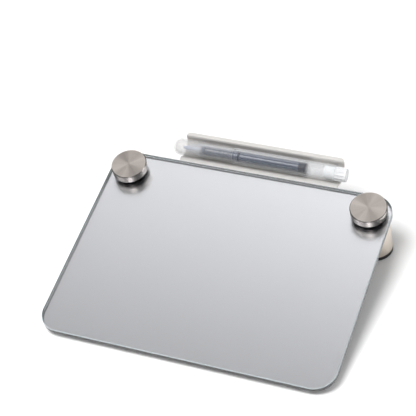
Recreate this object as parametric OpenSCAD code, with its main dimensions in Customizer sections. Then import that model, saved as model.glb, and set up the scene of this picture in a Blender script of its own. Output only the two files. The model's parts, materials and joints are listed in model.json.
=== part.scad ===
// Desk whiteboard easel: a tempered glass board with a steel sheet behind it,
// held by two screw caps on two round legs, with a marker lying in a rear tray.
// Millimetres. +X right, +Y to the back, +Z up. The desk is at Z = 0 and the
// origin is under the middle of the bounding box.

/* [Board] */
// Width of the glass
board_w = 203; // [170:1:260]
// Depth of the glass, measured up its slope
board_d = 152; // [110:1:200]
// Thickness of the glass
glass_t = 4; // [3:0.5:8]
// Radius of the glass's corners in plan
corner_r = 15; // [6:0.5:16]
// Ground bevel along the edges of the glass
arris = 0.4; // [0.2:0.1:0.8]
// Thickness of the silver colour film under the glass
film_t = 0.2; // [0.1:0.1:0.4]
// Thickness of the steel sheet that magnets hold to
steel_t = 0.5; // [0.3:0.1:1]
// How far the steel sheet stays inside the edge of the glass
steel_inset = 1.5; // [0.5:0.5:3]

/* [Stance] */
// Slope of the board, in degrees
tilt = 13.5; // [8:0.5:20]
// Height of the panel's front lower edge above the desk
front_gap = 2.5; // [1:0.5:6]

/* [Legs] */
// Diameter of a leg
leg_d = 26; // [20:0.5:29]
// Distance of a leg's axis from the side edge
leg_inset_x = 15; // [15:0.1:19]
// Distance of a leg's axis from the back edge
leg_inset_y = 16; // [15:0.1:19]
// Bevel at the top of a leg
leg_bevel = 0.5; // [0.3:0.1:1]
// Depth of the threaded hole in a leg
thread_depth = 14; // [11:1:18]
// Thickness of the rubber foot pad, straight up from the desk
foot_pad_t = 3; // [2:0.5:6]
// Thickness of the rubber ring between a leg and the steel sheet
leg_ring_t = 1; // [0.5:0.25:2]

/* [Screw caps] */
// Diameter of a screw cap
cap_d = 25; // [18:0.5:28]
// Height of a screw cap
cap_h = 6; // [5:0.1:12]
// Bevel round the top face of a cap
cap_bevel = 0.5; // [0.2:0.1:1]
// Rounding at the lower edge of a cap
cap_round = 0.8; // [0.4:0.1:1.5]
// Diameter of the ring between a cap and the glass
cap_ring_d = 21; // [14:0.5:24]
// Thickness of the ring between a cap and the glass
cap_ring_t = 1; // [0.3:0.1:1.5]
// Diameter of the threaded stud
stud_d = 8; // [6:1:8]
// Length of stud inside the cap
stud_in_cap = 4; // [3:0.5:5]
// Length of stud inside the leg
stud_in_leg = 8; // [5:0.5:10]
// Diameter of the hole through the glass, the film and the steel
panel_hole_d = 12; // [11:0.5:13]
// Radial gap round the stud and round the hole sleeve
stud_gap = 0.05; // [0.02:0.01:0.1]

/* [Front bumpers] */
// Diameter of a front bumper
bumper_d = 10; // [8:0.5:14]
// Distance of a bumper's axis from the side edge
bumper_inset_x = 22; // [16:1:40]
// Distance of a bumper's axis from the front edge
bumper_inset_y = 14; // [10:1:30]

/* [Pen tray] */
// Length of the tray
tray_l = 116; // [100:1:128]
// Thickness of the tray's sheet metal
sheet_t = 1.5; // [1:0.1:2]
// Length of the flange that is taped under the board
flange_l = 22; // [14:1:30]
// How much narrower the flange is than the tray, at each end
flange_step = 0.5; // [0.5:0.5:4]
// Thickness of the tape on the flange
tape_t = 0.3; // [0.2:0.1:1]
// Width of the tape
tape_w = 18; // [8:1:20]
// How far the tape stays inside the flange's ends
tape_inset = 2; // [1:0.5:10]
// Inside radius of the trough
trough_r = 7.5; // [6.5:0.25:10]
// Distance of the trough's centre behind the glass
trough_reach = 13.6; // [13:0.1:20]
// Height of the trough's centre above the top of the flange
trough_rise = 3.65; // [3:0.05:6]
// Width of the lip along the back, from the inner wall
lip_w = 3.25; // [3:0.25:6]
// Height of the lip's top above the trough's centre
lip_rise = 2.25; // [2.25:0.05:6]
// Corner radius of the lip in plan
lip_corner_r = 3; // [1:0.5:3]

/* [Marker] */
// Whole length of the marker
marker_l = 126.6; // [125:0.1:140]
// Offset of the marker's middle from the middle of the tray
marker_shift = -0.9; // [-5:0.1:5]
// Diameter of the barrel
barrel_d = 11.3; // [10.5:0.1:11.5]
// Wall of the barrel
barrel_wall = 1.1; // [1:0.1:1.2]
// Diameter of the marker's cap
marker_cap_d = 11.8; // [11.6:0.1:12]
// Length of the marker's cap
marker_cap_l = 44.2; // [42:0.2:50]
// Wall of the marker's cap at its open end
marker_cap_wall = 1; // [0.9:0.1:1.1]
// Radial gap between the cap and the barrel's neck
neck_gap = 0.1; // [0.05:0.01:0.1]
// Length of the neck that the cap slides over
neck_l = 24; // [16:1:26]
// Length of the felt nib in front of its holder
nib_l = 5; // [3:0.5:5]
// Diameter of the nib
nib_d = 3.2; // [2:0.1:3.4]
// Length of the tapered nib holder
holder_l = 9; // [6:0.5:9]
// Empty length of the barrel between the ink reservoir and the end plug
ink_space = 13.1; // [1:0.1:30]
// Visible length of the ribbed end plug
plug_l = 8; // [6:0.5:16]
// Diameter of the end plug
plug_d = 10; // [9.9:0.1:11]
// Number of ribs round the end plug
plug_ribs = 12; // [8:1:20]
// Space left between the resting marker and the trough
marker_gap = 0.2; // [0.1:0.05:0.3]

/* [Hidden] */
cut = 1;            // how far a cutting shape runs past the face that it cuts
fine_fn = 96;       // sides of large round pieces
bore_fn = 64;       // sides of bores and of what goes through them
small_fn = 48;      // sides of small round details
panel_t = glass_t + film_t + steel_t;
front_edge_h = front_gap + panel_t * cos(tilt);

// Screw cap and leg stations, in the panel's own frame, whose origin is the
// middle of the glass's top face with +Y up the slope and +Z out of the face.
leg_x = board_w / 2 - leg_inset_x;
leg_y = board_d / 2 - leg_inset_y;
leg_top_z = -panel_t - leg_ring_t;
leg_axis_l = (board_d - leg_inset_y) * tan(tilt) + front_edge_h / cos(tilt);
stud_hole_d = stud_d + 2 * stud_gap;
stud_z = leg_top_z - stud_in_leg;
stud_l = stud_in_cap + cap_ring_t - stud_z;
socket_af = 4;
socket_depth = 4;
cap_seat_z = cap_ring_t;

// Pen tray section: a flange, a soft bend, a trough and an out-turned lip.
flange_top_z = -panel_t - tape_t;
trough_y = board_d / 2 + trough_reach;
trough_z = flange_top_z + trough_rise;
bend_r = 2.5;
lip_bend_r = 1.25;
mid_r = trough_r + sheet_t / 2;
bend_z = flange_top_z - sheet_t / 2 - bend_r;
bend_angle = asin((trough_z - bend_z) / (mid_r + bend_r));
bend_y = trough_y - (mid_r + bend_r) * cos(bend_angle);
lip_z = trough_z + lip_rise;
lip_y = trough_y + trough_r + lip_w;
flange_y = board_d / 2 - flange_l;
flange_taper_l = 6;
tape_l = tray_l - 2 * (flange_step + tape_inset);

// Marker rest place and stations along its axis, from its closed cap end.
sag = trough_r - marker_cap_d / 2 - marker_gap;
marker_y = trough_y - sag * sin(tilt);
marker_z = trough_z - sag * cos(tilt);
marker_x = marker_shift - marker_l / 2;
cap_tip_r = 4.5;
cap_seam = 0.15;
neck_wall = 0.8;
shoulder_wall = 2;
inner_gap = 0.05;
neck_d = marker_cap_d - 2 * marker_cap_wall - 2 * neck_gap;
bore_d = barrel_d - 2 * barrel_wall;
neck_bore_d = neck_d - 2 * neck_wall;
shoulder_x = marker_cap_l + cap_seam;
neck_x = shoulder_x - neck_l;
barrel_end_x = marker_l - plug_l;
plug_neck_l = 8;
plug_tip_l = 1;
rib_h = 0.4;
rib_w = 1;
holder_x = neck_x - holder_l;
holder_plug_l = 3;
holder_front_wall = 1;
holder_shoulder = 0.5;
nib_x = holder_x - nib_l;
nib_taper_l = 3.5;
ink_x = neck_x + holder_plug_l + 4 * inner_gap;
ink_l = barrel_end_x - plug_neck_l - ink_space - ink_x;

// Bounding box in Y, which sets where the board stands over the origin.
front_y = -board_d / 2 * cos(tilt) + arris * sin(tilt);
back_y = lip_y * cos(tilt) - (lip_z - sheet_t) * sin(tilt);
board_y = -(front_y + back_y) / 2;
board_z = front_edge_h + board_d / 2 * sin(tilt);
desk_reach = 60;

// ---- frames ----

// Puts its children in the panel's frame.
module on_panel() {
    translate([0, board_y, board_z]) rotate([tilt, 0, 0]) children();
}

// Puts its children on one leg's axis: side is -1 for left and 1 for right.
module on_leg_axis(side) {
    on_panel() translate([side * leg_x, leg_y, 0]) children();
}

// Puts its children on the marker's axis, with +Z running from cap to plug.
module on_marker_axis() {
    on_panel() translate([marker_x, marker_y, marker_z]) rotate([0, 90, 0]) children();
}

// ---- shapes used more than once ----

// Plate with round corners in plan and its top face at Z = 0.
module rounded_plate(w, d, t, r, bevel) {
    hull()
        for (sx = [-1, 1], sy = [-1, 1])
            translate([sx * (w / 2 - r), sy * (d / 2 - r), -t]) {
                translate([0, 0, bevel]) cylinder(r = r, h = t - 2 * bevel, $fn = fine_fn);
                cylinder(r = r - bevel, h = t, $fn = fine_fn);
            }
}

// Holes for both studs through everything in the panel.
module panel_holes() {
    for (side = [-1, 1])
        translate([side * leg_x, leg_y, -panel_t - cut])
            cylinder(d = panel_hole_d, h = panel_t + 2 * cut, $fn = bore_fn);
}

// Flat ring with its lower face at Z = 0.
module ring(outer_d, inner_d, h) {
    difference() {
        cylinder(d = outer_d, h = h, $fn = bore_fn);
        translate([0, 0, -cut]) cylinder(d = inner_d, h = h + 2 * cut, $fn = bore_fn);
    }
}

// Everything below the height top_z over the desk.
module desk_slab(top_z) {
    translate([-board_w, -board_d, top_z - desk_reach]) cube([2 * board_w, 2 * board_d, desk_reach]);
}

// Points of an arc, in order from angle a0 to angle a1.
function arc(centre, r, a0, a1, steps) =
    [for (i = [0 : steps]) centre + r * [cos(a0 + (a1 - a0) * i / steps), sin(a0 + (a1 - a0) * i / steps)]];

// ---- the panel ----

module glass_panel() {
    color([0.80, 0.88, 0.86, 0.5]) on_panel()
        difference() {
            rounded_plate(board_w, board_d, glass_t, corner_r, arris);
            panel_holes();
        }
}

module silver_film() {
    color([0.80, 0.81, 0.82]) on_panel()
        difference() {
            translate([0, 0, -glass_t])
                rounded_plate(board_w - 2 * arris, board_d - 2 * arris, film_t, corner_r - arris, 0);
            panel_holes();
        }
}

module steel_sheet() {
    color([0.62, 0.63, 0.64]) on_panel()
        difference() {
            translate([0, 0, -glass_t - film_t])
                rounded_plate(board_w - 2 * steel_inset, board_d - 2 * steel_inset,
                              steel_t, corner_r - steel_inset, 0);
            panel_holes();
        }
}

// Nylon sleeve that keeps the stud off the glass.
module hole_sleeve(side) {
    color([0.92, 0.92, 0.90]) on_leg_axis(side)
        translate([0, 0, -panel_t])
            ring(panel_hole_d - 2 * stud_gap, stud_hole_d, panel_t);
}

// ---- screw caps ----

module screw_cap(side) {
    cap_r = cap_d / 2;
    color([0.71, 0.67, 0.63]) on_leg_axis(side)
        translate([0, 0, cap_seat_z])
            difference() {
                rotate_extrude($fn = fine_fn)
                    polygon(concat(
                        [[0, 0]],
                        arc([cap_r - cap_round, cap_round], cap_round, 270, 360, 6),
                        [[cap_r, cap_h - cap_bevel], [cap_r - cap_bevel, cap_h], [0, cap_h]]));
                translate([0, 0, -cut]) cylinder(d = stud_hole_d, h = stud_in_cap + cut, $fn = bore_fn);
            }
}

// Headless screw with a hexagon socket at its leg end.
module stud(side) {
    color([0.55, 0.56, 0.57]) on_leg_axis(side)
        translate([0, 0, stud_z])
            difference() {
                cylinder(d = stud_d, h = stud_l - stud_gap, $fn = bore_fn);
                translate([0, 0, -cut]) cylinder(d = socket_af / cos(30), h = socket_depth + cut, $fn = 6);
            }
}

module cap_ring(side) {
    color([0.20, 0.20, 0.21]) on_leg_axis(side) ring(cap_ring_d, stud_hole_d, cap_ring_t);
}

// ---- legs and feet ----

module leg_ring(side) {
    color([0.12, 0.12, 0.12]) on_leg_axis(side)
        translate([0, 0, leg_top_z]) ring(leg_d - 2 * leg_bevel, stud_hole_d, leg_ring_t);
}

module leg(side) {
    leg_r = leg_d / 2;
    color([0.80, 0.76, 0.71])
        difference() {
            on_leg_axis(side)
                difference() {
                    translate([0, 0, -leg_axis_l - leg_d])
                        rotate_extrude($fn = fine_fn)
                            polygon([
                                [0, 0], [leg_r, 0],
                                [leg_r, leg_axis_l + leg_d + leg_top_z - leg_bevel],
                                [leg_r - leg_bevel, leg_axis_l + leg_d + leg_top_z],
                                [0, leg_axis_l + leg_d + leg_top_z]]);
                    translate([0, 0, leg_top_z - thread_depth])
                        cylinder(d = stud_hole_d, h = thread_depth + cut, $fn = bore_fn);
                }
            desk_slab(foot_pad_t);
        }
}

module foot_pad(side) {
    color([0.07, 0.07, 0.07])
        intersection() {
            on_leg_axis(side) translate([0, 0, -leg_axis_l - leg_d])
                cylinder(d = leg_d, h = 2 * leg_d, $fn = fine_fn);
            translate([-board_w, -board_d, 0]) cube([2 * board_w, 2 * board_d, foot_pad_t]);
        }
}

module front_bumper(side) {
    color([0.10, 0.10, 0.10])
        difference() {
            on_panel()
                translate([side * (board_w / 2 - bumper_inset_x), bumper_inset_y - board_d / 2, -desk_reach])
                    cylinder(d = bumper_d, h = desk_reach - panel_t, $fn = bore_fn);
            desk_slab(0);
        }
}

// ---- pen tray ----

// One side of the sheet: off is half the sheet's thickness, towards the board's face or away from it.
function sheet_side(off) = concat(
    [[flange_y, flange_top_z - sheet_t / 2 + off]],
    arc([bend_y, bend_z], bend_r + off, 90, bend_angle, 8),
    arc([trough_y, trough_z], mid_r - off, 180 + bend_angle, 360, 28),
    arc([trough_y + mid_r + lip_bend_r, lip_z - sheet_t / 2 - lip_bend_r], lip_bend_r + off, 180, 90, 8),
    [[lip_y, lip_z - sheet_t / 2 + off]]);

function reversed(points) = [for (i = [len(points) - 1 : -1 : 0]) points[i]];

module tray_section() {
    polygon(concat(sheet_side(sheet_t / 2), reversed(sheet_side(-sheet_t / 2))));
}

// Plan of one end of the flange, which steps in towards the board.
module flange_end_cut() {
    polygon([
        [tray_l / 2 + cut, bend_y],
        [tray_l / 2, bend_y],
        [tray_l / 2 - flange_step, bend_y - flange_taper_l],
        [tray_l / 2 - flange_step, flange_y - cut],
        [tray_l / 2 + cut, flange_y - cut]]);
}

// What is cut off to round one corner of the lip.
module lip_corner_cut() {
    difference() {
        translate([tray_l / 2 - lip_corner_r, lip_y - lip_corner_r, lip_z - 2 * sheet_t])
            cube([lip_corner_r + cut, lip_corner_r + cut, 3 * sheet_t]);
        translate([tray_l / 2 - lip_corner_r, lip_y - lip_corner_r, lip_z - 3 * sheet_t])
            cylinder(r = lip_corner_r, h = 5 * sheet_t, $fn = small_fn);
    }
}

module pen_tray() {
    color([0.66, 0.65, 0.64]) on_panel()
        difference() {
            translate([-tray_l / 2, 0, 0]) rotate([90, 0, 90])
                linear_extrude(height = tray_l) tray_section();
            for (side = [0, 1])
                mirror([side, 0, 0]) {
                    translate([0, 0, flange_top_z - 3 * sheet_t])
                        linear_extrude(height = 4 * sheet_t) flange_end_cut();
                    lip_corner_cut();
                }
        }
}

module tray_tape() {
    color([0.15, 0.15, 0.16]) on_panel()
        translate([-tape_l / 2, flange_y + (flange_l - tape_w) / 2, flange_top_z])
            cube([tape_l, tape_w, tape_t]);
}

// ---- marker ----

module marker_barrel() {
    color([0.90, 0.91, 0.92, 0.6]) on_marker_axis()
        difference() {
            union() {
                translate([0, 0, neck_x]) cylinder(d = neck_d, h = neck_l + cut, $fn = bore_fn);
                translate([0, 0, shoulder_x])
                    cylinder(d = barrel_d, h = barrel_end_x - shoulder_x, $fn = bore_fn);
            }
            translate([0, 0, neck_x - cut])
                cylinder(d = neck_bore_d, h = neck_l + shoulder_wall + 2 * cut, $fn = bore_fn);
            translate([0, 0, shoulder_x + shoulder_wall])
                cylinder(d = bore_d, h = barrel_end_x - shoulder_x, $fn = bore_fn);
        }
}

module marker_cap() {
    outer_r = marker_cap_d / 2;
    inner_r = outer_r - marker_cap_wall;
    color([0.93, 0.93, 0.93, 0.6]) on_marker_axis()
        rotate_extrude($fn = bore_fn)
            polygon(concat(
                [[0, 0]],
                arc([outer_r - cap_tip_r, cap_tip_r], cap_tip_r, 270, 360, 12),
                [[outer_r, marker_cap_l], [inner_r, marker_cap_l], [inner_r, cap_tip_r],
                 [nib_d, 2 * marker_cap_wall], [0, 2 * marker_cap_wall]]));
}

module marker_nib() {
    nib_r = nib_d / 2;
    color([0.35, 0.42, 0.58]) on_marker_axis()
        translate([0, 0, nib_x])
            rotate_extrude($fn = small_fn)
                polygon(concat(
                    [[0, 0]],
                    arc([nib_r / 2, nib_r / 2], nib_r / 2, 270, 360, 6),
                    [[nib_r, nib_taper_l], [nib_r, nib_l + holder_l], [0, nib_l + holder_l]]));
}

module marker_nib_holder() {
    color([0.88, 0.89, 0.91, 0.8]) on_marker_axis()
        difference() {
            union() {
                translate([0, 0, holder_x])
                    cylinder(d1 = nib_d + 2 * holder_front_wall, d2 = neck_d - 2 * holder_shoulder,
                             h = holder_l, $fn = bore_fn);
                translate([0, 0, neck_x - cut])
                    cylinder(d = neck_bore_d - 2 * inner_gap, h = holder_plug_l + cut, $fn = bore_fn);
            }
            translate([0, 0, holder_x - cut])
                cylinder(d = nib_d + 2 * inner_gap, h = holder_l + holder_plug_l + 2 * cut, $fn = small_fn);
        }
}

module marker_ink_reservoir() {
    color([0.16, 0.19, 0.28]) on_marker_axis()
        translate([0, 0, ink_x]) cylinder(d = neck_bore_d - 4 * inner_gap, h = ink_l, $fn = bore_fn);
}

module marker_end_plug() {
    color([0.95, 0.95, 0.95, 0.8]) on_marker_axis()
        union() {
            translate([0, 0, barrel_end_x]) cylinder(d = plug_d - 2 * rib_h, h = plug_l, $fn = bore_fn);
            translate([0, 0, barrel_end_x - plug_neck_l])
                cylinder(d = bore_d - 2 * inner_gap, h = plug_neck_l + cut, $fn = bore_fn);
            for (i = [0 : plug_ribs - 1])
                rotate([0, 0, i * 360 / plug_ribs])
                    translate([plug_d / 2 - rib_w - rib_h, -rib_w / 2, barrel_end_x])
                        cube([rib_w + rib_h, rib_w, plug_l - plug_tip_l]);
        }
}

glass_panel();
silver_film();
steel_sheet();
hole_sleeve(-1);  // left_hole_sleeve
hole_sleeve(1);  // right_hole_sleeve
screw_cap(-1);  // left_screw_cap
screw_cap(1);  // right_screw_cap
stud(-1);  // left_stud
stud(1);  // right_stud
cap_ring(-1);  // left_cap_ring
cap_ring(1);  // right_cap_ring
leg_ring(-1);  // left_leg_ring
leg_ring(1);  // right_leg_ring
leg(-1);  // left_leg
leg(1);  // right_leg
foot_pad(-1);  // left_foot_pad
foot_pad(1);  // right_foot_pad
front_bumper(-1);  // left_front_bumper
front_bumper(1);  // right_front_bumper
pen_tray();
tray_tape();
marker_barrel();
marker_cap();
marker_nib();
marker_nib_holder();
marker_ink_reservoir();
marker_end_plug();
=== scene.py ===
import json
import math

import bmesh
import bpy
from mathutils import Matrix, Vector
from mathutils.geometry import delaunay_2d_cdt


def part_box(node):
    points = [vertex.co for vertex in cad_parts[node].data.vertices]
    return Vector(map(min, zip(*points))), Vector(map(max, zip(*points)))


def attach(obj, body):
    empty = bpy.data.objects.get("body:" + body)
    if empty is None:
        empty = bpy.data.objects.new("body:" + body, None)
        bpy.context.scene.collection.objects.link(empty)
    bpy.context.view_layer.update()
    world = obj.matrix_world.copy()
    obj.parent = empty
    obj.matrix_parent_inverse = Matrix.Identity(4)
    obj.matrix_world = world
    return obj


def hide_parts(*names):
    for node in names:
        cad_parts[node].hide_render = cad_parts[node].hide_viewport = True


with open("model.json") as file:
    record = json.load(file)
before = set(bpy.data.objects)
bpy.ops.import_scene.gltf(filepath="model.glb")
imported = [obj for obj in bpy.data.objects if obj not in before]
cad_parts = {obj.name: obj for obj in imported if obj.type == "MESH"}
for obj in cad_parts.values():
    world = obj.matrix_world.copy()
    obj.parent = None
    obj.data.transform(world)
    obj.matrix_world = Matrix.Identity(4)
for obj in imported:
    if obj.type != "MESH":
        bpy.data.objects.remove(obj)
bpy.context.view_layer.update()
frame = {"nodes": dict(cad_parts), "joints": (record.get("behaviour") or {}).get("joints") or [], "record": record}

# ---- camera: where the photograph was taken from ----

CAMERA_TARGET = Vector((-0.0214, 0.0279, 0.0338))
CAMERA_DISTANCE = 0.9798
CAMERA_AZIMUTH = 25.72
CAMERA_ELEVATION = 39.82
CAMERA_ROLL = -6.45
CAMERA_LENS = 125.1
CAMERA_NEAR = 0.05
CAMERA_FAR = 20.0


def direction(azimuth, elevation):
    """Unit vector from the object towards a place at that azimuth and elevation, in degrees."""
    a, e = math.radians(azimuth), math.radians(elevation)
    return Vector((math.sin(a) * math.cos(e), -math.cos(a) * math.cos(e), math.sin(e)))


def make_camera():
    data = bpy.data.cameras.new("camera")
    data.lens = CAMERA_LENS
    data.clip_start = CAMERA_NEAR
    data.clip_end = CAMERA_FAR
    camera = bpy.data.objects.new("camera", data)
    bpy.context.scene.collection.objects.link(camera)
    back = direction(CAMERA_AZIMUTH, CAMERA_ELEVATION)
    level = (-back).to_track_quat("-Z", "Y").to_matrix().to_4x4()
    roll = Matrix.Rotation(math.radians(CAMERA_ROLL), 4, "Z")
    camera.matrix_world = Matrix.Translation(CAMERA_TARGET + back * CAMERA_DISTANCE) @ level @ roll
    bpy.context.scene.camera = camera


# ---- places, read from the frame ----


def panel_frame():
    """The panel's own frame: origin in the middle of the writing face, +Y up the slope, +Z out of it."""
    mount = next(m for m in frame["record"]["mounts"] if m["name"] == "writing_face")
    out = Vector(mount["axis"]).normalized()
    right = Vector((1, 0, 0))
    turn = Matrix((right, out.cross(right), out)).transposed().to_4x4()
    return Matrix.Translation(mount["pos_m"]) @ turn


LEVEL = Matrix.Identity(4)
PANEL = panel_frame()
TO_PANEL = PANEL.inverted()
SIDES = ("left", "right")


def stud_point(side):
    """Where a stud's axis crosses the writing face, in the panel's frame."""
    joint = next(j for j in frame["joints"] if j["name"] == f"{side}_cap_turn")
    return TO_PANEL @ Vector(joint["pos_m"])


def stud_frame(side):
    return PANEL @ Matrix.Translation(stud_point(side))


# ---- sizes, in metres ----

# clearances and roundings
SLIP_FIT = 0.00005
LOOSE_FIT = 0.0001
TINY_ROUND = 0.0001
FINE_ROUND = 0.0002
SOFT_ROUND = 0.0003

# the glass and what lies under it
BOARD_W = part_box("glass_panel")[1].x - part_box("glass_panel")[0].x
BOARD_D = 0.152
GLASS_T = 0.004
FILM_T = 0.0002
STEEL_T = 0.0005
PANEL_T = GLASS_T + FILM_T + STEEL_T
CORNER_R = 0.015
ARRIS = 0.0004
HOLE_R = 0.006

# screw caps and studs; heights are from the writing face
CAP_R = 0.0125
CAP_SEAT = 0.001
CAP_H = 0.006
CAP_BEVEL = 0.0005
CAP_ROUND = 0.0008
STUD_R = 0.004
STUD_HOLE_R = STUD_R + SLIP_FIT
STUD_IN_CAP = 0.004
STUD_IN_LEG = 0.008
STUD_END_GAP = 0.0001
THREAD_PITCH = 0.00125
THREAD_DEPTH = 0.00065
SOCKET_AF = 0.004
SOCKET_DEPTH = 0.004

# legs, pads and bumpers
LEG_R = 0.013
LEG_RING_T = 0.001
LEG_TOP = -PANEL_T - LEG_RING_T
LEG_BEVEL = 0.0005
LEG_HOLE_BEVEL = 0.0003
LEG_THREAD_DEPTH = 0.014
FOOT_PAD_T = 0.003
RUBBER_EDGE = 0.0003
BUMPER_R = 0.005
BUMPER_INSET_X = 0.022
BUMPER_INSET_Y = 0.014

# pen tray
TRAY_L = 0.116
SHEET_T = 0.0015
TAPE_T = 0.0003
FLANGE_TOP = -PANEL_T - TAPE_T
FLANGE_L = 0.022
FLANGE_STEP = 0.0005
FLANGE_TAPER = 0.006
TROUGH_R = 0.0075
TROUGH_REACH = 0.0136
TROUGH_RISE = 0.00365
TRAY_BEND_R = 0.0025
LIP_BEND_R = 0.00125
LIP_W = 0.00325
LIP_RISE = 0.00225
LIP_CORNER_R = 0.003
TRAY_EDGE = 0.0002

# marker; lengths along it are from the closed end of its cap
MARKER_CAP_R = 0.0059
MARKER_CAP_L = 0.0442
MARKER_CAP_WALL = 0.001
CAP_TIP_R = 0.0045
CAP_SEAM = 0.00015
BARREL_R = 0.00565
BARREL_WALL = 0.0011
BARREL_BORE = BARREL_R - BARREL_WALL
NECK_R = 0.0048
NECK_WALL = 0.0008
NECK_BORE = NECK_R - NECK_WALL
NECK_L = 0.024
SHOULDER = MARKER_CAP_L + CAP_SEAM
SHOULDER_WALL = 0.002
NECK_START = SHOULDER - NECK_L
PLUG_L = 0.008
PLUG_NECK_L = 0.008
PLUG_R = 0.005
PLUG_RIBS = 12
RIB_H = 0.0004
RIB_FULLNESS = 0.5
RIB_RUNOUT = 0.0006
RIB_END_GAP = 0.001
PLUG_NECK_ROUND = 0.0004
PLUG_DOME_L = 0.0009
PLUG_ROUND = 0.0007
INK_R = 0.0039
INK_STEP = 0.0001
INK_COLLAR = 0.0480
INK_COLLAR_L = 0.0014
INK_END_L = 0.0050
NIB_R = 0.0016
NIB_TAPER_L = 0.0035
NIB_SHOULDER_ROUND = 0.001
HOLDER_TIP_WALL = 0.001
HOLDER_STEP = 0.0005

# ---- mesh helpers ----

SMOOTH_ANGLE = math.radians(32)
AXIS_EPS = 1e-7


def finish_mesh(obj):
    """Smooth shading that keeps flat faces flat and real corners sharp."""
    mesh = obj.data
    mesh.shade_smooth()
    mesh.set_sharp_from_angle(angle=SMOOTH_ANGLE)
    even = obj.modifiers.new("even_normals", "WEIGHTED_NORMAL")
    even.keep_sharp = True


def levelled(name, profile, place, sides):
    """Mesh of a profile turned round a leaning axis, for a piece whose own axes stay level."""
    mesh = turned(name, profile, sides)
    mesh.transform(place)
    return mesh


def make_piece(name, mesh, place, material, body, nodes):
    """Puts a mesh in place, on its body, standing for its CAD nodes."""
    tidy = bmesh.new()
    tidy.from_mesh(mesh)
    bmesh.ops.remove_doubles(tidy, verts=tidy.verts, dist=AXIS_EPS)
    bmesh.ops.recalc_face_normals(tidy, faces=tidy.faces)
    tidy.to_mesh(mesh)
    tidy.free()
    obj = bpy.data.objects.new(name, mesh)
    bpy.context.scene.collection.objects.link(obj)
    obj.matrix_world = place
    mesh.materials.append(material)
    finish_mesh(obj)
    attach(obj, body)
    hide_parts(*nodes)
    return obj


def mesh_of(name, verts, faces):
    mesh = bpy.data.meshes.new(name)
    mesh.from_pydata(verts, [], faces)
    return mesh


def arc(cx, cy, r, a0, a1, steps):
    """Points of an arc from angle a0 to angle a1, in degrees."""
    angles = [math.radians(a0 + (a1 - a0) * i / steps) for i in range(steps + 1)]
    return [(cx + r * math.cos(a), cy + r * math.sin(a)) for a in angles]


def fillet(before, corner, after, radius, steps):
    """Points of the arc that rounds a corner of an outline."""
    corner = Vector(corner)
    u = (Vector(before) - corner).normalized()
    v = (Vector(after) - corner).normalized()
    half = math.acos(max(-1.0, min(1.0, u.dot(v)))) / 2
    reach = radius / math.tan(half)
    centre = corner + (u + v).normalized() * radius / math.sin(half)
    start, end = corner + u * reach - centre, corner + v * reach - centre
    sweep = math.atan2(start.x * end.y - start.y * end.x, start.dot(end))
    a0 = math.degrees(math.atan2(start.y, start.x))
    return arc(centre.x, centre.y, radius, a0, a0 + math.degrees(sweep), steps)


ROUND_STEPS = 5


def rounded(corners, steps=ROUND_STEPS):
    """An outline from (r, z, rounding) corners; its two ends are left as they are."""
    points = []
    last = len(corners) - 1
    for i, (r, z, rounding) in enumerate(corners):
        if rounding and 0 < i < last:
            points += fillet(corners[i - 1][:2], (r, z), corners[i + 1][:2], rounding, steps)
        else:
            points.append((r, z))
    return points


def band(low, high):
    """Faces between two rings of vertices; a ring of one vertex is a pole."""
    faces = []
    count = max(len(low), len(high))
    for k in range(count if len(low) + len(high) > 2 else 0):
        j = (k + 1) % count
        if len(low) == 1:
            faces.append((low[0], high[j], high[k]))
        elif len(high) == 1:
            faces.append((low[k], low[j], high[0]))
        else:
            faces.append((low[k], low[j], high[j], high[k]))
    return faces


def rings_mesh(name, rings):
    """Mesh of rings of points, joined one to the next; a ring of one point is a pole."""
    verts, index = [], []
    for ring in rings:
        index.append(list(range(len(verts), len(verts) + len(ring))))
        verts += ring
    faces = [face for low, high in zip(index, index[1:]) for face in band(low, high)]
    return mesh_of(name, verts, faces)


def circle(r, z, segments):
    """A ring of points; z is a height or a function of x and y."""
    if r < AXIS_EPS:
        return [(0.0, 0.0, z(0, 0) if callable(z) else z)]
    points = []
    for k in range(segments):
        a = 2 * math.pi * k / segments
        x, y = r * math.cos(a), r * math.sin(a)
        points.append((x, y, z(x, y) if callable(z) else z))
    return points


def ring_of(radius, z, sides):
    """A level ring of points whose radius is a function of the angle."""
    points = []
    for k in range(sides):
        a = 2 * math.pi * k / sides
        r = radius(a)
        points.append((r * math.cos(a), r * math.sin(a), z))
    return points


TURNED_SIDES = 96
SMALL_SIDES = 64


def turned(name, outline, segments=TURNED_SIDES):
    """Mesh of an outline of (r, z) points turned round Z."""
    return rings_mesh(name, [circle(r, z, segments) for r, z in outline])


# ---- node helpers ----


def new_material(name):
    material = bpy.data.materials.new(name)
    material.use_nodes = True
    tree = material.node_tree
    tree.nodes.clear()
    output = tree.nodes.new("ShaderNodeOutputMaterial")
    return material, tree, output


def add(tree, kind, **settings):
    node = tree.nodes.new(kind)
    for key, value in settings.items():
        setattr(node, key, value)
    return node


def principled(tree, output, **values):
    """A Principled shader with its sockets set by name, wired to the output."""
    shader = add(tree, "ShaderNodeBsdfPrincipled")
    for key, value in values.items():
        shader.inputs[key.replace("_", " ")].default_value = value
    tree.links.new(shader.outputs["BSDF"], output.inputs["Surface"])
    return shader


def noise_at(tree, vector, scale, detail=4.0, roughness=0.55):
    noise = add(tree, "ShaderNodeTexNoise")
    noise.inputs["Scale"].default_value = scale
    noise.inputs["Detail"].default_value = detail
    noise.inputs["Roughness"].default_value = roughness
    tree.links.new(vector, noise.inputs["Vector"])
    return noise.outputs["Fac"]


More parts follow.
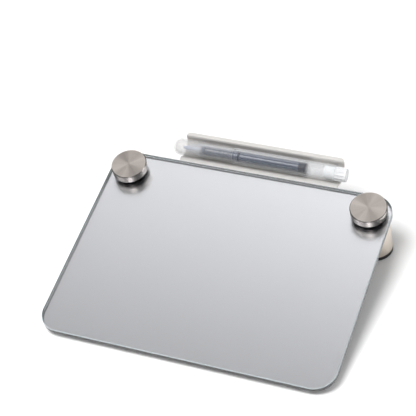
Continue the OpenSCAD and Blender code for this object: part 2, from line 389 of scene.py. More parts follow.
def grain(tree, scale, detail=4.0, stretch=(1, 1, 1), lean=0.0):
    """Noise in the piece's own coordinates, leant back over X and stretched along its axes."""
    place = add(tree, "ShaderNodeTexCoord")
    mapping = add(tree, "ShaderNodeMapping", vector_type="TEXTURE")
    mapping.inputs["Rotation"].default_value = (lean, 0, 0)
    mapping.inputs["Scale"].default_value = stretch
    tree.links.new(place.outputs["Object"], mapping.inputs["Vector"])
    return noise_at(tree, mapping.outputs["Vector"], scale, detail)


def turned_grain(tree, scale, detail=3.0):
    """Noise that only changes along a turned outline, so that it draws rings round Z."""
    place = add(tree, "ShaderNodeTexCoord")
    split = add(tree, "ShaderNodeSeparateXYZ")
    tree.links.new(place.outputs["Object"], split.inputs["Vector"])
    flat = add(tree, "ShaderNodeCombineXYZ")
    tree.links.new(split.outputs["X"], flat.inputs["X"])
    tree.links.new(split.outputs["Y"], flat.inputs["Y"])
    radius = add(tree, "ShaderNodeVectorMath", operation="LENGTH")
    tree.links.new(flat.outputs["Vector"], radius.inputs[0])
    rings = add(tree, "ShaderNodeCombineXYZ")
    tree.links.new(radius.outputs["Value"], rings.inputs["X"])
    tree.links.new(split.outputs["Z"], rings.inputs["Y"])
    return noise_at(tree, rings.outputs["Vector"], scale, detail)


# nearly all of a noise's values lie between these two
NOISE_LOW = 0.3
NOISE_HIGH = 0.7


def spread(tree, value, low, high):
    """Maps the middle of a noise onto low to high."""
    node = add(tree, "ShaderNodeMapRange")
    node.inputs["From Min"].default_value = NOISE_LOW
    node.inputs["From Max"].default_value = NOISE_HIGH
    node.inputs["To Min"].default_value = low
    node.inputs["To Max"].default_value = high
    tree.links.new(value, node.inputs["Value"])
    return node.outputs["Result"]


def bump(tree, height, distance):
    node = add(tree, "ShaderNodeBump")
    node.inputs["Distance"].default_value = distance
    tree.links.new(height, node.inputs["Height"])
    return node.outputs["Normal"]


def tone(tree, value, dark, light):
    """Mixes two colours by a value."""
    node = add(tree, "ShaderNodeMix", data_type="RGBA")
    node.inputs["A"].default_value = (*dark, 1)
    node.inputs["B"].default_value = (*light, 1)
    tree.links.new(value, node.inputs["Factor"])
    return node.outputs["Result"]


def finish(tree, shader, noise, dark, light, roughness, relief):
    """Drives a shader's colour, roughness and surface from one noise; gives back the colour."""
    colour = tone(tree, noise, dark, light)
    tree.links.new(colour, shader.inputs["Base Color"])
    tree.links.new(spread(tree, noise, *roughness), shader.inputs["Roughness"])
    if relief:
        tree.links.new(bump(tree, noise, relief), shader.inputs["Normal"])
    return colour


def grained(name, dark, light, scale, roughness, relief, stretch=(1, 1, 1), lean=0.0, **values):
    """A finish with a fine grain."""
    material, tree, output = new_material(name)
    shader = principled(tree, output, **values)
    finish(tree, shader, grain(tree, scale, stretch=stretch, lean=lean), dark, light, roughness, relief)
    return material


# ---- materials ----

GLASS_IOR = 1.52
GLASS_TINT = (0.35, 0.66, 0.66, 1)
GLASS_DENSITY = 18.0
GLASS_GRAIN = 40


def glass_material(name, colour, roughness):
    """Float glass, clear across its thickness and grey-green along its edges."""
    material, tree, output = new_material(name)
    shader = principled(tree, output, Base_Color=colour, IOR=GLASS_IOR, Transmission_Weight=1.0)
    tree.links.new(spread(tree, grain(tree, GLASS_GRAIN, detail=2.0), *roughness), shader.inputs["Roughness"])
    inside = add(tree, "ShaderNodeVolumeAbsorption")
    inside.inputs["Color"].default_value = GLASS_TINT
    inside.inputs["Density"].default_value = GLASS_DENSITY
    tree.links.new(inside.outputs["Volume"], output.inputs["Volume"])
    return material


def ground_arris():
    """Matt bevel round the top of the glass."""
    dark, light = (0.38, 0.42, 0.44), (0.46, 0.50, 0.52)
    return grained("ground_arris", dark, light, scale=900, roughness=(0.35, 0.45), relief=0.000004)


def silver_film():
    """Satin silver colour film, also the back of the glass."""
    dark, light = (0.872, 0.838, 0.872), (0.902, 0.868, 0.902)
    return grained("silver_film", dark, light, scale=1500, roughness=(0.20, 0.24), relief=0, Metallic=1.0)


def steel_sheet():
    dark, light = (0.45, 0.46, 0.47), (0.60, 0.61, 0.62)
    return grained("steel_sheet", dark, light, scale=120, roughness=(0.35, 0.5), relief=0.00002, Metallic=1.0)


def spokes(tree, scale):
    """Noise that only changes round Z."""
    place = add(tree, "ShaderNodeTexCoord")
    angle = add(tree, "ShaderNodeTexGradient", gradient_type="RADIAL")
    tree.links.new(place.outputs["Object"], angle.inputs["Vector"])
    along = add(tree, "ShaderNodeCombineXYZ")
    tree.links.new(angle.outputs["Fac"], along.inputs["X"])
    return noise_at(tree, along.outputs["Vector"], scale, detail=3.0)


LATHE_RINGS = 4500
# painted rays of light and shade round the face of turned metal: how many, and how dark the darkest
SPOKES = 14
PAINTED_RAY_SHADE = 0.84


def turned_metal(name, dark, light, roughness, relief, anisotropy):
    """Metal turned on a lathe, with fine rings that draw light out into a fan, and painted rays of light and shade
    round its centre in the base colour.
    """
    material, tree, output = new_material(name)
    shader = principled(tree, output, Metallic=1.0, Anisotropic=anisotropy, Anisotropic_Rotation=0.25)
    around = add(tree, "ShaderNodeTangent", direction_type="RADIAL", axis="Z")
    tree.links.new(around.outputs["Tangent"], shader.inputs["Tangent"])
    colour = finish(tree, shader, turned_grain(tree, LATHE_RINGS), dark, light, roughness, relief)
    # painted highlight rays: wedges of the base colour darkened round the centre, standing in for the fan of
    # reflected light
    shade = tone(tree, spread(tree, spokes(tree, SPOKES), 0, 1), (PAINTED_RAY_SHADE,) * 3, (1.0, 1.0, 1.0))
    painted_rays = add(tree, "ShaderNodeMix", data_type="RGBA", blend_type="MULTIPLY")
    painted_rays.inputs["Factor"].default_value = 1.0
    tree.links.new(colour, painted_rays.inputs["A"])
    tree.links.new(shade, painted_rays.inputs["B"])
    tree.links.new(painted_rays.outputs["Result"], shader.inputs["Base Color"])
    return material


def spun_steel():
    """Faces of the screw caps."""
    dark, light = (0.57, 0.515, 0.475), (0.71, 0.65, 0.61)
    return turned_metal("spun_steel", dark, light, roughness=(0.32, 0.40), relief=0.000004, anisotropy=0.9)


def polished_steel():
    """Sides of the screw caps."""
    dark, light = (0.62, 0.58, 0.55), (0.68, 0.64, 0.61)
    return turned_metal(
        "polished_steel", dark, light, roughness=(0.12, 0.18), relief=0.000001, anisotropy=0.3
    )


def stud_steel():
    dark, light = (0.42, 0.43, 0.44), (0.55, 0.56, 0.57)
    return grained("stud_steel", dark, light, scale=500, roughness=(0.3, 0.45), relief=0.00001, Metallic=1.0)


LEG_GRAIN_STRETCH = 30


def champagne_metal():
    """Brushed metal of the legs, its grain drawn out along them."""
    dark, light = (0.66, 0.58, 0.50), (0.82, 0.75, 0.67)
    return grained(
        "champagne_metal",
        dark,
        light,
        scale=1500,
        roughness=(0.30, 0.42),
        relief=0.000006,
        stretch=(1, 1, LEG_GRAIN_STRETCH),
        lean=PANEL.to_euler().x,
        Metallic=0.9,
    )


def tray_metal():
    dark, light = (0.64, 0.62, 0.60), (0.70, 0.68, 0.66)
    return grained(
        "tray_metal", dark, light, scale=700, roughness=(0.28, 0.36), relief=0.000006, Metallic=0.5
    )


def black_rubber():
    dark, light = (0.010, 0.010, 0.010), (0.022, 0.022, 0.022)
    return grained("black_rubber", dark, light, scale=900, roughness=(0.6, 0.8), relief=0.00003)


def dark_ring():
    """Smooth seal between a cap and the glass."""
    dark, light = (0.010, 0.016, 0.024), (0.016, 0.024, 0.034)
    return grained("dark_ring", dark, light, scale=900, roughness=(0.4, 0.5), relief=0.00001)


def nylon():
    dark, light = (0.72, 0.72, 0.70), (0.78, 0.78, 0.76)
    return grained("nylon", dark, light, scale=600, roughness=(0.4, 0.5), relief=0.00001)


def foam_tape():
    dark, light = (0.02, 0.02, 0.022), (0.04, 0.04, 0.042)
    return grained("tape", dark, light, scale=1200, roughness=(0.8, 0.9), relief=0.00005)


FROST_START = 0.18
FROST_GRAIN = 400
# how much the milkiness grows, and where along the marker
BARREL_MIST = 0.24
BARREL_MIST_L = 0.003
CAP_MIST = 0.29
CAP_MIST_FROM = 0.0235
CAP_MIST_TO = 0.0195


def mist(tree, low, high, amount):
    """Extra milkiness that grows from one place on the axis to another."""
    place = add(tree, "ShaderNodeTexCoord")
    parts = add(tree, "ShaderNodeSeparateXYZ")
    tree.links.new(place.outputs["Object"], parts.inputs["Vector"])
    grow = add(tree, "ShaderNodeMapRange", interpolation_type="SMOOTHSTEP")
    grow.inputs["From Min"].default_value = low
    grow.inputs["From Max"].default_value = high
    grow.inputs["To Max"].default_value = amount
    tree.links.new(parts.outputs["Z"], grow.inputs["Value"])
    return grow.outputs["Result"]


def frosted_material(name, dark, light, roughness, facing, grazing, misty=None):
    """Thin milky plastic: see-through where it is looked at squarely, whiter towards its outline."""
    material, tree, output = new_material(name)
    shader = principled(tree, output)
    finish(tree, shader, grain(tree, FROST_GRAIN), dark, light, roughness, relief=0)
    outline = add(tree, "ShaderNodeLayerWeight")
    outline.inputs["Blend"].default_value = 0.5
    veil = add(tree, "ShaderNodeMapRange")
    veil.inputs["From Min"].default_value = FROST_START
    veil.inputs["To Min"].default_value = facing
    veil.inputs["To Max"].default_value = grazing
    tree.links.new(outline.outputs["Facing"], veil.inputs["Value"])
    share = veil.outputs["Result"]
    if misty:
        both = add(tree, "ShaderNodeMath", operation="MAXIMUM")
        tree.links.new(share, both.inputs[0])
        tree.links.new(mist(tree, *misty), both.inputs[1])
        share = both.outputs[0]
    clear = add(tree, "ShaderNodeBsdfTransparent")
    mixed = add(tree, "ShaderNodeMixShader")
    tree.links.new(share, mixed.inputs[0])
    tree.links.new(clear.outputs["BSDF"], mixed.inputs[1])
    tree.links.new(shader.outputs["BSDF"], mixed.inputs[2])
    tree.links.new(mixed.outputs["Shader"], output.inputs["Surface"])
    return material


def frosted_barrel():
    """Nearly clear over the ink, milkier behind it."""
    dark, light = (0.88, 0.90, 0.92), (0.94, 0.95, 0.96)
    ink_end = along_marker("marker_ink_reservoir")[1]
    misty = (ink_end, ink_end + BARREL_MIST_L, BARREL_MIST)
    return frosted_material(
        "frosted_plastic", dark, light, roughness=(0.10, 0.14), facing=0.04, grazing=0.65, misty=misty
    )


def frosted_cap():
    """Nearly clear over the ink, milkier round the nib."""
    dark, light = (0.68, 0.67, 0.665), (0.74, 0.73, 0.725)
    misty = (CAP_MIST_FROM, CAP_MIST_TO, CAP_MIST)
    return frosted_material(
        "frosted_cap", dark, light, roughness=(0.22, 0.30), facing=0.045, grazing=0.40, misty=misty
    )


def frosted_plug():
    dark, light = (0.90, 0.92, 0.94), (0.95, 0.96, 0.97)
    return frosted_material("frosted_plug", dark, light, roughness=(0.24, 0.32), facing=0.6, grazing=0.85)


def frosted_holder():
    """Plastic that the ink has tinted."""
    dark, light = (0.46, 0.55, 0.70), (0.54, 0.63, 0.78)
    return frosted_material("frosted_holder", dark, light, roughness=(0.3, 0.4), facing=0.22, grazing=0.6)


def nib_felt():
    dark, light = (0.20, 0.28, 0.46), (0.28, 0.37, 0.56)
    return grained("nib_felt", dark, light, scale=2500, roughness=(0.9, 1.0), relief=0.00005)


def ink_fibre():
    """Wrapped core full of dark ink, under a smooth sleeve."""
    dark, light = (0.006, 0.016, 0.045), (0.014, 0.032, 0.080)
    return grained("ink_fibre", dark, light, scale=1500, roughness=(0.12, 0.16), relief=0.000005, IOR=2.3)


def ink_collar():
    dark, light = (0.004, 0.006, 0.018), (0.008, 0.012, 0.030)
    return grained("ink_collar", dark, light, scale=1500, roughness=(0.3, 0.4), relief=0.00001)


def make_materials():
    return {
        "glass": glass_material("clear_glass", colour=(1, 1, 1, 1), roughness=(0.0, 0.012)),
        # the edge faces get a grey-blue tint, a painted shade that darkens the glass's edges
        "glass_edge": glass_material("painted_shade_edge", colour=(0.82, 0.88, 0.90, 1), roughness=(0.02, 0.05)),
        "glass_arris": ground_arris(),
        "silver": silver_film(),
        "steel": steel_sheet(),
        "spun": spun_steel(),
        "polished": polished_steel(),
        "stud": stud_steel(),
        "champagne": champagne_metal(),
        "tray": tray_metal(),
        "rubber": black_rubber(),
        "ring": dark_ring(),
        "nylon": nylon(),
        "tape": foam_tape(),
        "barrel": frosted_barrel(),
        "marker_cap": frosted_cap(),
        "plug": frosted_plug(),
        "holder": frosted_holder(),
        "felt": nib_felt(),
        "ink": ink_fibre(),
        "ink_collar": ink_collar(),
    }


def dress(node, material):
    slots = frame["nodes"][node].data.materials
    slots.clear()
    slots.append(material)


def dress_nodes(m):
    """Finishes of the CAD nodes that show as they are."""
    dress("silver_film", m["silver"])
    dress("steel_sheet", m["steel"])
    dress("tray_tape", m["tape"])
    for side in SIDES:
        dress(f"{side}_cap_ring", m["ring"])
        dress(f"{side}_leg_ring", m["rubber"])
        dress(f"{side}_hole_sleeve", m["nylon"])


# ---- the glass ----

CORNER_STEPS = 32
SOFT_EDGE = 0.00012
# material slots of the glass
CLEAR_SLOT, SILVER_SLOT, EDGE_SLOT, ARRIS_SLOT = 0, 1, 2, 3


def rectangle_loop(inset):
    """Plan of the glass, drawn in by inset, with round corners."""
    points = []
    for quarter, (sx, sy) in enumerate(((1, 1), (-1, 1), (-1, -1), (1, -1))):
        cx, cy = sx * (BOARD_W / 2 - CORNER_R), sy * (BOARD_D / 2 - CORNER_R)
        points += arc(cx, cy, CORNER_R - inset, 90 * quarter, 90 * (quarter + 1), CORNER_STEPS)
    return points


def edge_levels(depth, bevel):
    """(inset, z) of the steps from the top face, over two soft bevels, to the bottom face."""
    near = [(bevel + SOFT_EDGE, 0), (bevel, -SOFT_EDGE / 3), (SOFT_EDGE / 3, -bevel), (0, -bevel - SOFT_EDGE)]
    return near + [(inset, -depth - z) for inset, z in reversed(near)]


def plate_triangles(loops):
    """Triangles of a flat plate, from the loop round it and the loops of its holes."""
    verts = [v for loop in loops for v in loop]
    edges, start = [], 0
    for loop in loops:
        edges += [(start + k, start + (k + 1) % len(loop)) for k in range(len(loop))]
        start += len(loop)
    found = delaunay_2d_cdt([v.co.xy for v in verts], edges, [], 1, AXIS_EPS)
    faces, sources = found[2], found[3]
    triangles = [[verts[sources[i][0]] for i in face] for face in faces]
    holes = [set(loop) for loop in loops[1:]]
    return [corners for corners in triangles if not any(hole.issuperset(corners) for hole in holes)]


def make_glass(m):
    """Slab with ground edges, darkened by a painted shade, and two holes; its lower face carries the silver."""
    bm = bmesh.new()
    levels = edge_levels(GLASS_T, ARRIS)
    walls = [[[bm.verts.new((x, y, z)) for x, y in rectangle_loop(inset)] for inset, z in levels]]
    for side in SIDES:
        at = stud_point(side)
        rings = []
        for inset, z in levels:
            loop = arc(at.x, at.y, HOLE_R + inset, 0, 360, SMALL_SIDES)[:-1]
            rings.append([bm.verts.new((x, y, z)) for x, y in loop])
        walls.append(rings)
    for rings in walls:
        for low, high in zip(rings, rings[1:]):
            arris = rings is walls[0] and low[0].co.z > -ARRIS - AXIS_EPS
            for face in band(low, high):
                bm.faces.new(face).material_index = ARRIS_SLOT if arris else EDGE_SLOT
    for level, slot in ((0, CLEAR_SLOT), (-1, SILVER_SLOT)):
        for corners in plate_triangles([rings[level] for rings in walls]):
            bm.faces.new(corners).material_index = slot
    mesh = bpy.data.meshes.new("board_glass")
    bm.to_mesh(mesh)
    bm.free()
    glass = make_piece("board_glass", mesh, PANEL, m["glass"], "board", ["glass_panel"])
    for look in ("silver", "glass_edge", "glass_arris"):
        glass.data.materials.append(m[look])


# ---- screw caps and studs ----


def make_cap(side, m):
    """Cap with a polished side and a spun face."""
    top = CAP_SEAT + CAP_H
    outline = rounded(
        [
            (0, CAP_SEAT + STUD_IN_CAP, 0),
            (STUD_HOLE_R, CAP_SEAT + STUD_IN_CAP, FINE_ROUND),
            (STUD_HOLE_R, CAP_SEAT, SOFT_ROUND),
            (CAP_R, CAP_SEAT, CAP_ROUND),
            (CAP_R, top - CAP_BEVEL, TINY_ROUND),
            (CAP_R - CAP_BEVEL, top, TINY_ROUND),
            (0, top, 0),
        ]
    )
    node = f"{side}_screw_cap"
    name = f"{side}_spun_cap"
    cap = make_piece(name, turned(name, outline), stud_frame(side), m["polished"], node, [node])
    cap.data.materials.append(m["spun"])
    for face in cap.data.polygons:
        if face.center.z > top - AXIS_EPS:
            face.material_index = 1


THREAD_SIDES = 48
THREAD_STEPS = 8
# shares of half a pitch that the crest and the flank take, and the slope of the thread's two ends
THREAD_CREST = 0.1
THREAD_FLANK = 0.8
THREAD_RUNOUT = 0.6


def thread_radius(z, angle, low, high):
    """Radius of a right-hand thread, tapered off at both ends of the stud."""
    turn = (z / THREAD_PITCH - angle / (2 * math.pi)) % 1.0
    wave = abs(2 * turn - 1)
    flank = min(1.0, max(0.0, (wave - THREAD_CREST) / THREAD_FLANK))
    r = STUD_R - THREAD_DEPTH * flank
    return min(r, STUD_R - THREAD_DEPTH + THREAD_RUNOUT * min(z - low, high - z))


def hexagon_radius(angle):
    within = (angle + math.pi / 6) % (math.pi / 3) - math.pi / 6
    return SOCKET_AF / 2 / math.cos(within)


def make_stud(side, m):
    """Threaded rod with a hexagon socket in its leg end."""
    low, high = LEG_TOP - STUD_IN_LEG, CAP_SEAT + STUD_IN_CAP - STUD_END_GAP
    socket = low + SOCKET_DEPTH
    rows = round((high - low) / THREAD_PITCH * THREAD_STEPS)
    rings = [[(0, 0, socket)]]
    for z in (socket, low):
        rings.append(ring_of(hexagon_radius, z, THREAD_SIDES))
    for i in range(rows + 1):
        z = low + (high - low) * i / rows
        rings.append(ring_of(lambda angle: thread_radius(z, angle, low, high), z, THREAD_SIDES))
    rings.append([(0, 0, high)])
    name = f"{side}_threaded_stud"
    mesh = rings_mesh(name, rings)
    make_piece(name, mesh, stud_frame(side), m["stud"], f"{side}_screw_cap", [f"{side}_stud"])


# ---- legs, pads and bumpers ----


def over_desk(place, height):
    """The local z, for each local x and y, of the level plane at that height over the desk."""
    row = place[2]
    return lambda x, y: (height - row[3] - row[0] * x - row[1] * y) / row[2]


def make_leg(side, m):
    """Round leg with a threaded hole, cut level for its pad."""
    place = stud_frame(side)
    deep = LEG_TOP - LEG_THREAD_DEPTH
    profile = [
        (0, deep),
        (STUD_HOLE_R, deep),
        (STUD_HOLE_R, LEG_TOP - LEG_HOLE_BEVEL),
        (STUD_HOLE_R + LEG_HOLE_BEVEL, LEG_TOP),
        (LEG_R - LEG_BEVEL, LEG_TOP),
        (LEG_R, LEG_TOP - LEG_BEVEL),
        (LEG_R, over_desk(place, FOOT_PAD_T + LEG_BEVEL)),
        (LEG_R - LEG_BEVEL, over_desk(place, FOOT_PAD_T)),
        (0, over_desk(place, FOOT_PAD_T)),
    ]
    name = f"{side}_round_leg"
    mesh = levelled(name, profile, place, TURNED_SIDES)
    make_piece(name, mesh, LEVEL, m["champagne"], "board", [f"{side}_leg"])


def make_foot_pad(side, m):
    """Even pad under a leg."""
    place = stud_frame(side)
    profile = [
        (0, over_desk(place, FOOT_PAD_T)),
        (LEG_R - RUBBER_EDGE, over_desk(place, FOOT_PAD_T)),
        (LEG_R, over_desk(place, FOOT_PAD_T - RUBBER_EDGE)),
        (LEG_R, over_desk(place, RUBBER_EDGE)),
        (LEG_R - RUBBER_EDGE, over_desk(place, 0)),
        (0, over_desk(place, 0)),
    ]
    name = f"{side}_rubber_foot"
    mesh = levelled(name, profile, place, TURNED_SIDES)
    make_piece(name, mesh, LEVEL, m["rubber"], "board", [f"{side}_foot_pad"])


def make_bumper(side, m):
    """Pad under the front edge, cut level with the desk."""
    sign = -1 if side == "left" else 1
    x, y = sign * (BOARD_W / 2 - BUMPER_INSET_X), BUMPER_INSET_Y - BOARD_D / 2
    place = PANEL @ Matrix.Translation((x, y, 0))
    profile = [
        (0, -PANEL_T),
        (BUMPER_R, -PANEL_T),
        (BUMPER_R, over_desk(place, RUBBER_EDGE)),
        (BUMPER_R - RUBBER_EDGE, over_desk(place, 0)),
        (0, over_desk(place, 0)),
    ]
    name = f"{side}_rubber_bumper"
    mesh = levelled(name, profile, place, SMALL_SIDES)
    make_piece(name, mesh, LEVEL, m["rubber"], "board", [f"{side}_front_bumper"])


# ---- pen tray ----

BEND_STEPS = 10
TROUGH_STEPS = 40
LIP_STEPS = 8
SHARP_EDGE = math.radians(50)


def tray_stations():
    """Along the sheet's middle: y, z, the upward normal and half the width, in the panel's frame."""
    mid_r = TROUGH_R + SHEET_T / 2
    y0 = BOARD_D / 2 + TROUGH_REACH
    z0 = FLANGE_TOP + TROUGH_RISE
    flange_z = FLANGE_TOP - SHEET_T / 2
    bend_z = flange_z - TRAY_BEND_R
    bend = math.degrees(math.asin((z0 - bend_z) / (mid_r + TRAY_BEND_R)))
    bend_y = y0 - (mid_r + TRAY_BEND_R) * math.cos(math.radians(bend))
    lip_z = z0 + LIP_RISE - SHEET_T / 2
    lip_y = y0 + TROUGH_R + LIP_W
    flange_y = BOARD_D / 2 - FLANGE_L
    half = TRAY_L / 2
    stations = [
        (flange_y, flange_z, (0, 1), half - FLANGE_STEP),
        (bend_y - FLANGE_TAPER, flange_z, (0, 1), half - FLANGE_STEP),
    ]
    for sweep, cy, cz, r, a0, a1, steps in (
        (1, bend_y, bend_z, TRAY_BEND_R, 90, bend, BEND_STEPS),
        (-1, y0, z0, mid_r, 180 + bend, 360, TROUGH_STEPS),
        (1, y0 + mid_r + LIP_BEND_R, lip_z - LIP_BEND_R, LIP_BEND_R, 180, 90, BEND_STEPS),
    ):
        for y, z in arc(cy, cz, r, a0, a1, steps):
            up = (sweep * (y - cy) / r, sweep * (z - cz) / r)
            stations.append((y, z, up, half))
    lip_start = stations[-1][0]
    for i in range(1, LIP_STEPS + 1):
        y = lip_start + (lip_y - lip_start) * i / LIP_STEPS
        stations.append((y, lip_z, (0, 1), half))
    return [(y, z, up, w - lip_round(y, z, lip_y, z0)) for y, z, up, w in stations]


def lip_round(y, z, lip_y, wall_z):
    """How much the rounding of the lip's corners takes off half the width."""
    past = y - (lip_y - LIP_CORNER_R)
    if past <= 0 or z < wall_z:
        return 0.0
    return LIP_CORNER_R - math.sqrt(max(0.0, LIP_CORNER_R**2 - past**2))


def make_tray(m):
    """Bent sheet with softly broken edges."""
    bm = bmesh.new()
    rows = []
    for y, z, (ny, nz), half in tray_stations():
        row = []
        for x, off in ((-half, 1), (half, 1), (half, -1), (-half, -1)):
            row.append(bm.verts.new((x, y + ny * off * SHEET_T / 2, z + nz * off * SHEET_T / 2)))
        rows.append(row)
    for low, high in zip(rows, rows[1:]):
        for face in band(low, high):
            bm.faces.new(face)
    bm.faces.new(rows[0])
    bm.faces.new(rows[-1])
    bmesh.ops.recalc_face_normals(bm, faces=bm.faces)
    edges = [e for e in bm.edges if e.calc_face_angle(0) > SHARP_EDGE]
    bmesh.ops.bevel(bm, geom=edges, offset=TRAY_EDGE, segments=2, profile=0.5, affect="EDGES")
    mesh = bpy.data.meshes.new("bent_tray")
    bm.to_mesh(mesh)
    bm.free()
    make_piece("bent_tray", mesh, PANEL, m["tray"], "board", ["pen_tray"])


# ---- marker ----

TIP_STEPS = 16
TIP_STEPS_INSIDE = 12
NIB_SIDES = 48
SIDES_PER_RIB = 8


def marker_frame():
    """+Z along the marker from its cap to its plug, with the origin at the closed end of the cap."""
    low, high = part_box("marker_cap")
    middle = Vector((low.x, (low.y + high.y) / 2, (low.z + high.z) / 2))
    return Matrix.Translation(middle) @ Matrix.Rotation(math.pi / 2, 4, "Y")


def along_marker(node):
    """Where a CAD node starts and ends along the marker."""
    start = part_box("marker_cap")[0].x
    low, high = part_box(node)
    return low.x - start, high.x - start


MARKER = marker_frame()
BARREL_END = along_marker("marker_end_plug")[1] - PLUG_L


def marker_part(name, mesh, material, node):
    body = "marker_cap" if node == "marker_cap" else "marker"
    return make_piece(name, mesh, MARKER, material, body, [node])


def make_marker_cap(m):
    """Thin cup with a round closed end."""
    inner = MARKER_CAP_R - MARKER_CAP_WALL
    tip_flat = MARKER_CAP_R - CAP_TIP_R
    outline = [(0, 0), (tip_flat, 0)]
    outline += arc(tip_flat, CAP_TIP_R, CAP_TIP_R, 270, 360, TIP_STEPS)
    sides = [
        (MARKER_CAP_R, CAP_TIP_R, 0),
        (MARKER_CAP_R, MARKER_CAP_L, SOFT_ROUND),
        (inner, MARKER_CAP_L, SOFT_ROUND),
        (inner, CAP_TIP_R, 0),
    ]
    outline += rounded(sides)[1:]
    outline += arc(tip_flat, CAP_TIP_R, CAP_TIP_R - MARKER_CAP_WALL, 0, -90, TIP_STEPS_INSIDE)
    outline += [(0, MARKER_CAP_WALL)]
    mesh = turned("frosted_cap", outline)
    marker_part("frosted_cap", mesh, m["marker_cap"], "marker_cap")


def make_barrel(m):
    """Tube with a narrower neck that goes into the cap."""
    wall = SHOULDER + SHOULDER_WALL
    middle = (NECK_START + wall) / 2
    outline = rounded(
        [
            (NECK_BORE, middle, 0),
            (NECK_BORE, NECK_START, FINE_ROUND),
            (NECK_R, NECK_START, FINE_ROUND),
            (NECK_R, SHOULDER, 0),
            (BARREL_R, SHOULDER, SOFT_ROUND),
            (BARREL_R, BARREL_END, SOFT_ROUND),
            (BARREL_BORE, BARREL_END, SOFT_ROUND),
            (BARREL_BORE, wall, SOFT_ROUND),
            (NECK_BORE, wall, FINE_ROUND),
            (NECK_BORE, middle, 0),
        ]
    )
    mesh = turned("frosted_barrel", outline)
    marker_part("frosted_barrel", mesh, m["barrel"], "marker_barrel")


def make_ink(m):
    """Reservoir; its collar and its last stretch are a hair thicker and darker."""
    start, end = along_marker("marker_ink_reservoir")
    thin = INK_R - INK_STEP
    collar_end = INK_COLLAR + INK_COLLAR_L
    band_start = end - INK_END_L
    outline = rounded([(0, start, 0), (thin, start, SOFT_ROUND), (thin, INK_COLLAR, 0)])
    outline += [(INK_R, INK_COLLAR), (INK_R, collar_end), (thin, collar_end)]
    outline += [(thin, band_start), (INK_R, band_start)]
    outline += rounded([(INK_R, band_start, 0), (INK_R, end, SOFT_ROUND), (0, end, 0)])[1:]
    mesh = turned("ink_reservoir", outline)
    ink = marker_part("ink_reservoir", mesh, m["ink"], "marker_ink_reservoir")
    ink.data.materials.append(m["ink_collar"])
    for face in ink.data.polygons:
        r = math.hypot(face.center.x, face.center.y)
        if r > INK_R - INK_STEP / 2 or face.center.z > end - AXIS_EPS:
            face.material_index = 1


def make_nib(m):
    """Felt rod that tapers to a small flat."""
    start, end = along_marker("marker_nib")
    outline = rounded(
        [
            (0, start, 0),
            (NIB_R / 2, start, NIB_R / 3),
            (NIB_R, start + NIB_TAPER_L, NIB_SHOULDER_ROUND),
            (NIB_R, end, 0),
            (0, end, 0),
        ]
    )
    marker_part("felt_nib", turned("felt_nib", outline, NIB_SIDES), m["felt"], "marker_nib")


def make_holder(m):
    """Tapered sleeve round the nib, stepped where it enters the neck."""
    start, end = along_marker("marker_nib_holder")
    bore = NIB_R + SLIP_FIT
    middle = (start + NECK_START) / 2
    step = NECK_START - LOOSE_FIT
    outline = rounded(
        [
            (bore, middle, 0),
            (bore, start, FINE_ROUND),
            (bore + HOLDER_TIP_WALL, start, SOFT_ROUND),
            (NECK_R - HOLDER_STEP, step, FINE_ROUND),
            (NECK_BORE - LOOSE_FIT, step, 0),
            (NECK_BORE - LOOSE_FIT, end, FINE_ROUND),
            (bore, end, FINE_ROUND),
            (bore, middle, 0),
        ]
    )
    mesh = turned("nib_holder", outline, SMALL_SIDES)
    marker_part("nib_holder", mesh, m["holder"], "marker_nib_holder")


def rib_radius(angle, share):
    """Radius of the plug where its ribs stand out by a share of their height."""
    rib = max(0.0, math.cos(PLUG_RIBS * angle)) ** RIB_FULLNESS
    return PLUG_R - RIB_H + RIB_H * rib * share


def make_plug(m):
    """End plug: a smooth neck in the barrel, then ribs and a softly rounded end."""
    sides = SIDES_PER_RIB * PLUG_RIBS
    core = PLUG_R - RIB_H
    neck_r, neck_start = BARREL_BORE - SLIP_FIT, BARREL_END - PLUG_NECK_L
    end = BARREL_END + PLUG_L
    neck = rounded([(0, neck_start, 0), (neck_r, neck_start, PLUG_NECK_ROUND), (neck_r, BARREL_END, 0)])
    rings = [circle(r, z, sides) for r, z in neck]
    ribs_end = end - RIB_END_GAP
    for z, share in ((BARREL_END, 0), (BARREL_END, 1), (ribs_end - RIB_RUNOUT, 1), (ribs_end, 0)):
        rings.append(ring_of(lambda angle: rib_radius(angle, share), z, sides))
    dome = rounded([(core, end - PLUG_DOME_L, 0), (core, end, PLUG_ROUND), (0, end, 0)])
    rings += [circle(r, z, sides) for r, z in dome]
    mesh = rings_mesh("ribbed_plug", rings)
    marker_part("ribbed_plug", mesh, m["plug"], "marker_end_plug")


def make_marker(m):
    for make in (make_marker_cap, make_barrel, make_ink, make_nib, make_holder, make_plug):
        make(m)


# ---- studio ----

FLOOR_SIZE = 6.0
FLOOR_DROP = 0.0002
FLOOR_COLOUR = 0.90
FLOOR_GLOW = 0.03
SKY_BASE = 0.15
# azimuth and elevation in degrees, sharpness, strength
SKY_LOBES = (
    (-133, 52, 60, 1.4),
    (-164, 57, 60, 2.2),
    (-164, 67, 60, 0.2),
    (10, 40, 90, 4.5),
    (105, 40, 40, 2.0),
    (-33, 42, 30, 0.7),
    (-41, 58, 70, 3.6),
    (124, 60, 20, 1.1),
)


def background_rays(tree):
    """1 for camera, glossy and transmission rays."""
    path = add(tree, "ShaderNodeLightPath")
    total = path.outputs["Is Camera Ray"]
    for kind in ("Is Glossy Ray", "Is Transmission Ray"):
        both = add(tree, "ShaderNodeMath", operation="MAXIMUM")
        tree.links.new(total, both.inputs[0])
        tree.links.new(path.outputs[kind], both.inputs[1])
        total = both.outputs[0]
    return total


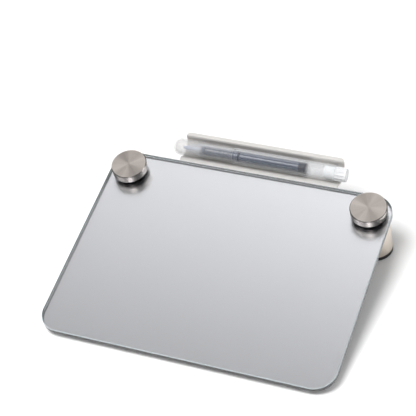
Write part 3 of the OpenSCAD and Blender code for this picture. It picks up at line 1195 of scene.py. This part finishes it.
def make_floor():
    """White desk that takes the shadow."""
    bpy.ops.mesh.primitive_plane_add(size=FLOOR_SIZE, location=(0, 0, -FLOOR_DROP))
    floor = bpy.context.object
    floor.name = "floor"
    material, tree, output = new_material("floor")
    diffuse = add(tree, "ShaderNodeBsdfDiffuse")
    diffuse.inputs["Color"].default_value = (FLOOR_COLOUR, FLOOR_COLOUR, FLOOR_COLOUR, 1)
    glow = add(tree, "ShaderNodeEmission")
    gain = add(tree, "ShaderNodeMath", operation="MULTIPLY")
    gain.inputs[1].default_value = FLOOR_GLOW
    both = add(tree, "ShaderNodeAddShader")
    tree.links.new(background_rays(tree), gain.inputs[0])
    tree.links.new(gain.outputs[0], glow.inputs["Strength"])
    tree.links.new(diffuse.outputs[0], both.inputs[0])
    tree.links.new(glow.outputs[0], both.inputs[1])
    tree.links.new(both.outputs[0], output.inputs["Surface"])
    floor.data.materials.append(material)


def add_lobe(tree, place, total, azimuth, elevation, sharpness, strength):
    """Adds a soft round light in that direction to the sky's brightness."""
    towards = add(tree, "ShaderNodeVectorMath", operation="DOT_PRODUCT")
    towards.inputs[1].default_value = direction(azimuth, elevation)
    tree.links.new(place.outputs["Generated"], towards.inputs[0])
    front = add(tree, "ShaderNodeMath", operation="MAXIMUM")
    front.inputs[1].default_value = 0.0
    tree.links.new(towards.outputs["Value"], front.inputs[0])
    lobe = add(tree, "ShaderNodeMath", operation="POWER")
    lobe.inputs[1].default_value = sharpness
    tree.links.new(front.outputs[0], lobe.inputs[0])
    scaled = add(tree, "ShaderNodeMath", operation="MULTIPLY_ADD")
    scaled.inputs[1].default_value = strength
    tree.links.new(lobe.outputs[0], scaled.inputs[0])
    tree.links.new(total, scaled.inputs[2])
    return scaled.outputs[0]


def make_world():
    """A studio of soft lights round the object, white where the camera sees it."""
    world = bpy.data.worlds.new("studio")
    bpy.context.scene.world = world
    world.use_nodes = True
    tree = world.node_tree
    background = tree.nodes["Background"]
    background.inputs["Color"].default_value = (1, 1, 1, 1)
    place = add(tree, "ShaderNodeTexCoord")
    base = add(tree, "ShaderNodeValue")
    base.outputs[0].default_value = SKY_BASE
    total = base.outputs[0]
    for lobe in SKY_LOBES:
        total = add_lobe(tree, place, total, *lobe)
    path = add(tree, "ShaderNodeLightPath")
    level = add(tree, "ShaderNodeMix", data_type="FLOAT")
    level.inputs["B"].default_value = 1.0
    tree.links.new(path.outputs["Is Camera Ray"], level.inputs["Factor"])
    tree.links.new(total, level.inputs["A"])
    tree.links.new(level.outputs["Result"], background.inputs["Strength"])


KEY_AZIMUTH = -15
KEY_ELEVATION = 66
KEY_DISTANCE = 1.2
KEY_SIZE = 0.5
KEY_POWER = 13.8
KEY_AIM = Vector((0, 0, 0.03))


def make_key_light():
    """Soft square light from the front left; the metal and the glass mirror only the sky."""
    data = bpy.data.lights.new("key", "AREA")
    data.shape = "SQUARE"
    data.size = KEY_SIZE
    data.energy = KEY_POWER
    key = bpy.data.objects.new("key", data)
    bpy.context.scene.collection.objects.link(key)
    away = direction(KEY_AZIMUTH, KEY_ELEVATION)
    key.location = KEY_AIM + away * KEY_DISTANCE
    key.rotation_euler = (-away).to_track_quat("-Z", "Y").to_euler()
    key.visible_transmission = False
    key.visible_glossy = False


make_camera()
materials = make_materials()
dress_nodes(materials)
make_glass(materials)
for side in SIDES:
    make_cap(side, materials)
    make_stud(side, materials)
    make_leg(side, materials)
    make_foot_pad(side, materials)
    make_bumper(side, materials)
make_tray(materials)
make_marker(materials)
make_floor()
make_world()
make_key_light()

bpy.context.scene.view_settings.view_transform = "Standard"
